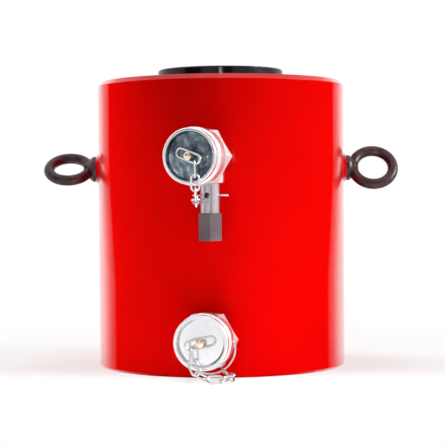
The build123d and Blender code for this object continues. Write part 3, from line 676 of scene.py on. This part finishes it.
def make_eye(word, side, lean):
    """A conical weld boss on the +X or -X side, and the eye bolt in it."""
    m = basis((0, 0, EYE_Z), (0, 1, 0), (side, 0, 0))
    boss_root = BOSS_FOOT_X - ROOT
    boss_profile = [
        (0, boss_root),
        (BOSS_FOOT_R, boss_root),
        (BOSS_FOOT_R, BOSS_FOOT_X),
        (BOSS_FACE_R, BOSS_FACE_X),
        (0, BOSS_FACE_X),
    ]
    boss = lathe(f"{word}_boss", boss_profile, m, RED, 0.5, 128)
    piece(boss, "barrel", "lifting_bosses")

    shank_root = BOSS_FACE_X - ROOT
    collar_end = BOSS_FACE_X + EYE_COLLAR_LEN
    neck_end = collar_end + EYE_NECK_LEN
    shank_profile = [
        (0, shank_root),
        (EYE_COLLAR_R - 0.2, shank_root),
        (EYE_COLLAR_R, BOSS_FACE_X),
        (EYE_COLLAR_R, collar_end - 1.8),
        (EYE_COLLAR_R - 1.3, collar_end),
        (EYE_NECK_R + 0.5, collar_end + 2.0),
        (EYE_NECK_R, neck_end),
        (0, neck_end),
    ]
    shank = lathe(f"{word}_eye_shank", shank_profile, m, BLACK, 0.8, 96, 4)
    piece(shank, "barrel", "eye_bolts")

    tilt = radians(lean)
    ring_frame = basis((side * EYE_CENTRE_X, 0, EYE_Z), (1, 0, 0), (0, cos(tilt), -sin(tilt)))
    ring = tube(f"{word}_eye_ring", circle(ring_frame, EYE_RING_R, 96), EYE_WIRE_R, BLACK, True, 28)
    piece(ring, "barrel", "eye_bolts")


def make_tee():
    """Tee adapter behind the upper coupler, with the branch that carries the relief valve."""
    foot = WASHER_THICK + GAP - UPPER_SPOT_DEPTH
    end = UPPER_STANDOFF - HEX_AT - HEX_THICK - GAP
    run = lathe("tee_run", sleeve(0, TEE_R, foot, end), UPPER, TEE, 0.6, 128)
    piece(run, "barrel", "upper_tee_adapter")
    branch = lathe("tee_branch", sleeve(0, BRANCH_R, GAP - BRANCH_LEN, 0), VALVE, BRIGHT, 0.5, 96)
    piece(branch, "barrel", "upper_tee_adapter")


def make_relief_valve():
    """Relief stem with its vent hole, and the hexagonal spring cap below it, one edge to the front."""
    stem_profile = [
        (0, 0),
        (STEM_R, 0),
        (STEM_R, STEM_LEN),
        (STEM_BORE_R, STEM_LEN),
        (STEM_BORE_R, STEM_FLOOR),
        (0, STEM_FLOOR),
    ]
    stem = lathe("relief_stem", stem_profile, VALVE, GREY, 0.3, 128)
    drill = lathe("vent_drill", sleeve(0, VENT_R, 0, VENT_DEPTH), VENT, GREY, 0, 48)
    cut(stem, [drill], VALVE, STEM_R, GREY)
    piece(stem, "barrel", "relief_valve_body")

    edge_turn = 90 + degrees(atan2(UPPER_RIGHT.y, UPPER_RIGHT.x))
    cap_end = STEM_LEN + VALVE_CAP_LEN
    cap = prism(
        "relief_spring_cap", VALVE, VALVE_CAP_FLATS, STEM_LEN, cap_end, GREY_DARK, edge_turn, VALVE_CAP_FACE_R
    )
    piece(cap, "barrel", "relief_valve_cap")


def make_spring(node, m, bore_r, fixed, moving):
    """A coil between two heights in a bore, from its fixed end to the end at its poppet."""
    per_turn = 24
    count = per_turn * SPRING_TURNS
    radius = bore_r - 2 * GAP - SPRING_WIRE / 2
    inset = SPRING_WIRE / 2 if moving > fixed else -SPRING_WIRE / 2
    first, last = fixed + inset, moving - inset
    rise = (last - first) / count
    coil = [spoke(m, radius, 2 * pi * k / per_turn, first + rise * k) for k in range(count + 1)]
    obj = tube(f"{node}_coil", coil, SPRING_SECTION / 2, WIRE, False, 8)
    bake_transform(obj)
    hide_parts(node)


def make_springs():
    """The relief spring and the two check springs, each fixed at the end away from its poppet."""
    make_spring(
        "relief_spring", VALVE, STEM_BORE_R, STEM_LEN - VALVE_STUD_LEN - GAP, RELIEF_SPRING_FROM
    )
    chamber_foot = NOSE_AT + MOUTH_LEN + CHAMBER_LEN
    guide_end = NOSE_AT + MOUTH_LEN + POPPET_GUIDE_LEN
    for word, face in (("upper", UPPER_FACE), ("lower", LOWER_FACE)):
        make_spring(
            f"{word}_check_spring", face, CHAMBER_R, GAP - chamber_foot, -2 * GAP - guide_end
        )


def make_coupler_half(word, face, neck_end=None):
    """Nose and hexagon of a coupler half, and the neck behind them down to a depth."""
    hex_back = HEX_AT + HEX_THICK
    nose = lathe(f"{word}_nose", sleeve(MOUTH_R, NOSE_R, -NOSE_AT, -HEX_AT - OVERLAP), face, BRIGHT, 0.3, 128)
    piece(nose, "barrel", f"{word}_coupler")
    nut = prism(f"{word}_hexagon", face, HEX_FLATS, -HEX_AT, -hex_back, HEXAGON, 0, HEX_FACE_R, True)
    piece(nut, "barrel", f"{word}_coupler")
    if neck_end:
        neck = lathe(f"{word}_neck", sleeve(0, NECK_R, OVERLAP - hex_back, -neck_end), face, BRIGHT, 0.3, 96)
        piece(neck, "barrel", f"{word}_coupler")


def make_dust_cap(word, face, dish_look):
    """Dust cap: a skirt with a front band, a groove and a rear band, and the dished disc in it."""
    web_z = -DISH_DEPTH - CAP_WEB
    inner_r = NOSE_R + THREAD_FIT
    skirt_profile = [
        (DISH_R, 0),
        (CAP_R - CAP_EDGE, 0),
        (CAP_R, -CAP_EDGE),
        (CAP_R, -CAP_FRONT_BAND),
        (CAP_GROOVE_R, -(CAP_FRONT_BAND + CAP_GROOVE_TO) / 2),
        (CAP_REAR_R, -CAP_GROOVE_TO),
        (CAP_REAR_R, -CAP_LEN),
        (inner_r, -CAP_LEN),
        (inner_r, web_z),
        (DISH_R, web_z),
    ]
    skirt = lathe(f"{word}_cap_skirt", skirt_profile, face, SKIRT, 0.35, 256, 4)
    piece(skirt, f"{word}_cap", f"{word}_dust_cap")

    hole_r = RIVET_R + RUNNING_FIT
    dish_profile = [
        (hole_r, -DISH_DEPTH),
        (DISH_FLOOR_R, -DISH_DEPTH),
        (DISH_R, 0),
        (DISH_R + OVERLAP, -OVERLAP),
        (DISH_R + OVERLAP, web_z),
        (hole_r, web_z),
    ]
    dish = lathe(f"{word}_cap_dish", dish_profile, face, dish_look, 0.2, 256)
    piece(dish, f"{word}_cap", f"{word}_dust_cap")


def make_rivet_and_loop(word, face, bearing):
    """Cap rivet and the wire loop tilted under its head. Returns where a chain hangs on the loop."""
    tilt = radians(LOOP_TILT)
    loop_z = LOOP_WIRE_R + LOOP_HALF_LEN * sin(tilt) + GAP - DISH_DEPTH
    head = loop_z + LOOP_WIRE_R / cos(tilt)
    tail = -DISH_DEPTH - CAP_WEB - GAP
    rivet_profile = [
        (0, tail - RIVET_TAIL_THICK),
        (RIVET_TAIL_R, tail - RIVET_TAIL_THICK),
        (RIVET_TAIL_R, tail),
        (RIVET_R, tail),
        (RIVET_R, head),
        (RIVET_HEAD_R, head),
        (RIVET_HEAD_R - 0.15, head + 0.7),
        (RIVET_R, head + 1.2),
        (0, head + RIVET_HEAD_THICK),
    ]
    rivet = lathe(f"{word}_rivet", rivet_profile, face, BRASS, 0.3, 64, 4)
    piece(rivet, "barrel", f"{word}_cap_rivet")

    level = shift(face, loop_z)
    x_dir, y_dir, z_dir = (level.col[k].xyz for k in range(3))
    lying = x_dir * cos(radians(bearing)) + y_dir * sin(radians(bearing))
    rising = lying * cos(tilt) + z_dir * sin(tilt)
    loop_frame = basis(level.translation, rising, rising.cross(z_dir.cross(lying)))
    track = racetrack(loop_frame, LOOP_HALF_LEN, LOOP_HALF_WIDTH)
    piece(tube(f"{word}_loop", track, LOOP_WIRE_R, WIRE, True), "barrel", f"{word}_cap_loop")

    bend = shift_x(loop_frame, LOOP_HALF_LEN - LOOP_HALF_WIDTH)
    lowest = min((spoke(bend, LOOP_HALF_WIDTH, pi * k / 4) for k in range(-2, 3)), key=lambda p: p.z)
    return lowest + Vector((0, 0, THROUGH))


def make_bail():
    """The wire bail through the relief stem, round behind it."""
    side = [
        (STEM_R - WIRE_HOLE_DEPTH + GAP, 0),
        (BAIL_HALF - 0.3, 0),
        (BAIL_HALF, 0.4),
        (BAIL_SHOULDER, BAIL_SHOULDER_BACK),
        (BAIL_CROWN + 0.6, BAIL_BACK - 0.1),
        (BAIL_CROWN, BAIL_BACK),
    ]
    outline = side + [(-x, back) for x, back in reversed(side)]
    path = [VENT.translation + UPPER_RIGHT * x - UPPER_OUT * back for x, back in outline]
    piece(tube("chain_bail", path, BAIL_WIRE_R, WIRE, False, 12), "barrel", "chain_anchor")
    return VENT.translation - UPPER_RIGHT * BAIL_HOOK_AT - UPPER_OUT * THROUGH


def make_tie_ring():
    """The ring that hangs on the lower coupler's neck. Returns where its chain hooks on."""
    tie = shift(LOWER_FACE, -TIE_RING_AT)
    tie.translation = below(tie.translation, TIE_RING_R - NECK_R - GAP - TIE_RING_WIRE_R)
    ring = tube("tie_ring", circle(tie, TIE_RING_R, 128), LINK_WIRE_R, WIRE, True, 12)
    piece(ring, "barrel", "lower_chain_ring")
    return spoke(tie, TIE_RING_R, radians(TIE_HOOK_TURN), -THROUGH)


def make_chain(word, start, end, runs, right, lie):
    """Wire links from start to end, by each link's bearing and dip, each at right angles to the last."""
    points = [Vector(start)]
    for bearing, dip in runs:
        level = cos(radians(dip))
        step = Vector((level * cos(radians(bearing)), level * sin(radians(bearing)), -sin(radians(dip))))
        points.append(points[-1] + step * PITCH)
    miss = Vector(end) - points[-1]
    points = [p + miss * (k / len(runs)) for k, p in enumerate(points)]
    first = (points[1] - points[0]).normalized()
    normal = Matrix.Rotation(radians(lie), 3, first) @ first.cross(right)
    for k, (a, b) in enumerate(zip(points, points[1:])):
        run = (b - a).normalized()
        normal = run.cross(normal).normalized()
        track = racetrack(basis((a + b) / 2, run, normal), LINK_HALF, LINK_SIDE)
        link = tube(f"{word}_link_{k + 1}", track, LINK_WIRE_R, WIRE, True, 12)
        piece(link, "barrel", f"{word}_chain")


def make_saddle():
    """The saddle disc, countersunk for its screw, with crossed grip slots and a grip ring."""
    top, foot = SADDLE_TOP_Z, SADDLE_FOOT_Z
    profile = [
        (SCREW_HEAD_R + GAP, top - HAIR),
        (SADDLE_R - SADDLE_CHAMFER, top - HAIR),
        (SADDLE_R, top - SADDLE_CHAMFER),
        (SADDLE_R, foot),
        (SADDLE_SPIGOT_R, foot),
        (SADDLE_SPIGOT_R, foot - SADDLE_SPIGOT_LEN),
        (SCREW_R + GAP, foot - SADDLE_SPIGOT_LEN),
        (SCREW_R + GAP, top - (SCREW_HEAD_R - SCREW_R)),
    ]
    saddle = lathe("saddle_disc", profile, WORLD, BLACK_DISC, 0.25, 256)
    bearing = radians(GRIP_SLOT_BEARING)
    grip = basis((0, 0, top), (cos(bearing), sin(bearing), 0), (0, 0, 1))
    low, above = -GRIP_SLOT_DEPTH, 2.0
    half = GRIP_SLOT_WIDTH / 2
    ring = sleeve(GRIP_RING_R - half, GRIP_RING_R + half, low, above)
    grooves = [
        box("slot_x", grip, GRIP_SLOT_LEN, GRIP_SLOT_WIDTH, low, above, BLACK_DISC),
        box("slot_y", grip, GRIP_SLOT_WIDTH, GRIP_SLOT_LEN, low, above, BLACK_DISC),
        lathe("slot_ring", ring, grip, BLACK_DISC, 0, 192),
    ]
    cut(saddle, grooves, WORLD, SADDLE_R, BLACK_DISC)
    piece(saddle, "plunger", "saddle")


make_barrel()
make_eye("right", 1, EYE_LEAN_RIGHT)
make_eye("left", -1, EYE_LEAN_LEFT)
make_tee()
make_relief_valve()
make_springs()

make_coupler_half("upper", UPPER_FACE)
# The upper dish takes the painted reflection look; the lower dish keeps the plain bright plate
make_dust_cap("upper", UPPER_FACE, DISH_PAINTED_REFLECTION)
upper_catch = make_rivet_and_loop("upper", UPPER_FACE, UPPER_LOOP_BEARING)
make_coupler_half("lower", LOWER_FACE, LOWER_STANDOFF + LOWER_SPOT_DEPTH - WASHER_THICK)
make_dust_cap("lower", LOWER_FACE, BRIGHT)
lower_catch = make_rivet_and_loop("lower", LOWER_FACE, LOWER_LOOP_BEARING)

bail_hook = make_bail()
make_chain("upper", upper_catch, bail_hook, UPPER_RUNS, UPPER_RIGHT, UPPER_LIE)
ring_hook = make_tie_ring()
make_chain("lower", lower_catch, ring_hook, LOWER_RUNS, LOWER.col[0].xyz, LOWER_LIE)
make_saddle()


# Studio, in metres
MIDDLE = (0, 0, 0.1)


def aim(obj, position, target):
    """Stand an object somewhere and turn its -Z to a target."""
    obj.location = position
    obj.rotation_euler = (Vector(target) - Vector(position)).to_track_quat("-Z", "Y").to_euler()


def area_light(name, position, target, size, energy, size_y=None, glossy=True, spread=180):
    """A rectangular lamp."""
    lamp = bpy.data.lights.new(name, "AREA")
    lamp.shape = "RECTANGLE"
    lamp.size = size
    lamp.size_y = size_y or size
    lamp.energy = energy
    lamp.spread = radians(spread)
    obj = add_object(name, lamp)
    aim(obj, position, target)
    obj.visible_glossy = glossy


def card(name, position, target, width, height, shade):
    """A plain card outside the picture that polished metal shows."""
    n = Look(name)
    patches = n.span(n.noise(5, 2), 0.42, 0.58, 0, 1)
    colour = n.blend(patches, (shade * 2.5,) * 3, (shade * 0.4,) * 3)
    n.set(Base_Color=colour, Roughness=1.0, Specular_IOR_Level=0.0)
    w, h = width / 2, height / 2
    mesh = bpy.data.meshes.new(name)
    mesh.from_pydata([(-w, -h, 0), (w, -h, 0), (w, h, 0), (-w, h, 0)], [], [(0, 1, 2, 3)])
    mesh.materials.append(n.material)
    obj = add_object(name, mesh)
    aim(obj, position, target)
    obj.visible_diffuse = False
    obj.visible_shadow = False


def light_world():
    """White behind the object and in its metal, and a faint pale light on all else."""
    world = bpy.context.scene.world or bpy.data.worlds.new("World")
    bpy.context.scene.world = world
    world.use_nodes = True
    n = Nodes(world.node_tree)
    n.tree.nodes.clear()
    white = n.add("ShaderNodeBackground", Color=(1, 1, 1), Strength=1.0)
    soft = n.add("ShaderNodeBackground", Color=(1, 0.99, 0.98), Strength=0.04)
    n.add("ShaderNodeOutputWorld", Surface=n.mix_shaders(n.background_ray(), soft, white))


def lay_floor():
    """A pale floor that keeps the object's shadow near it and is white to the camera farther out."""
    n = Look("floor")
    n.set(Base_Color=n.blend(n.noise(4), (0.93, 0.93, 0.93), (0.90, 0.90, 0.905)), Roughness=0.9)
    reach = n.add("ShaderNodeVectorMath")
    reach.operation = "LENGTH"
    n.feed(reach.inputs[0], n.coords)
    far = n.span(reach.outputs["Value"], 0.10, 0.34, 0.55, 1.0)
    glow = n.add("ShaderNodeEmission", Color=(1, 1, 1), Strength=1.0)
    shown = n.math("MULTIPLY", far, n.background_ray())
    n.feed(n.tree.nodes["Material Output"].inputs["Surface"], n.mix_shaders(shown, n.bsdf, glow))
    bpy.ops.mesh.primitive_plane_add(size=8)
    floor = bpy.context.object
    floor.name = "floor"
    floor.data.materials.append(n.material)


def set_camera():
    """The camera that took the photograph, solved from the barrel's two rims."""
    scene = bpy.context.scene
    scene.view_settings.view_transform = "Standard"
    data = bpy.data.cameras.new("camera")
    data.lens = 123.4
    data.sensor_width = 36.0
    data.clip_end = 30
    camera = add_object("camera", data)
    scene.camera = camera
    camera.location = (0, -1.031, 0.1154)
    level, down, yaw, roll = 90, 1.108, -0.04, -0.4
    turns = ((yaw, "Z"), (level - down, "X"), (roll, "Z"))
    yawed, pitched, rolled = (Matrix.Rotation(radians(angle), 3, axis) for angle, axis in turns)
    camera.rotation_euler = (yawed @ pitched @ rolled).to_euler()


area_light("key", (1.60, -0.40, 0.80), MIDDLE, 0.8, 24.5)
area_light("left", (-1.58, 0.74, 0.57), MIDDLE, 0.9, 35, glossy=False)
area_light("top", (0, 0.02, 1.1), (0, 0, 0), 0.5, 3.8, glossy=False)
area_light("floor_fill", (0, -0.19, 0.5), (0, -0.19, 0), 0.3, 0.42, size_y=0.08, glossy=False, spread=30)
area_light("flash", (0.005, -1.6, 0.32), (0, 0, 0.19), 0.04, 0.8, size_y=0.1)
area_light("glint", (-1.03, -1.10, 0.10), MIDDLE, 0.08, 0.3, size_y=0.14)
light_world()
lay_floor()
card("left_card", (-1.45, -1.15, 0.3), MIDDLE, 1.1, 2.4, 0.03)
card("front_card", (0.25, -1.95, 0.5), MIDDLE, 1.1, 2.4, 0.05)
set_camera()
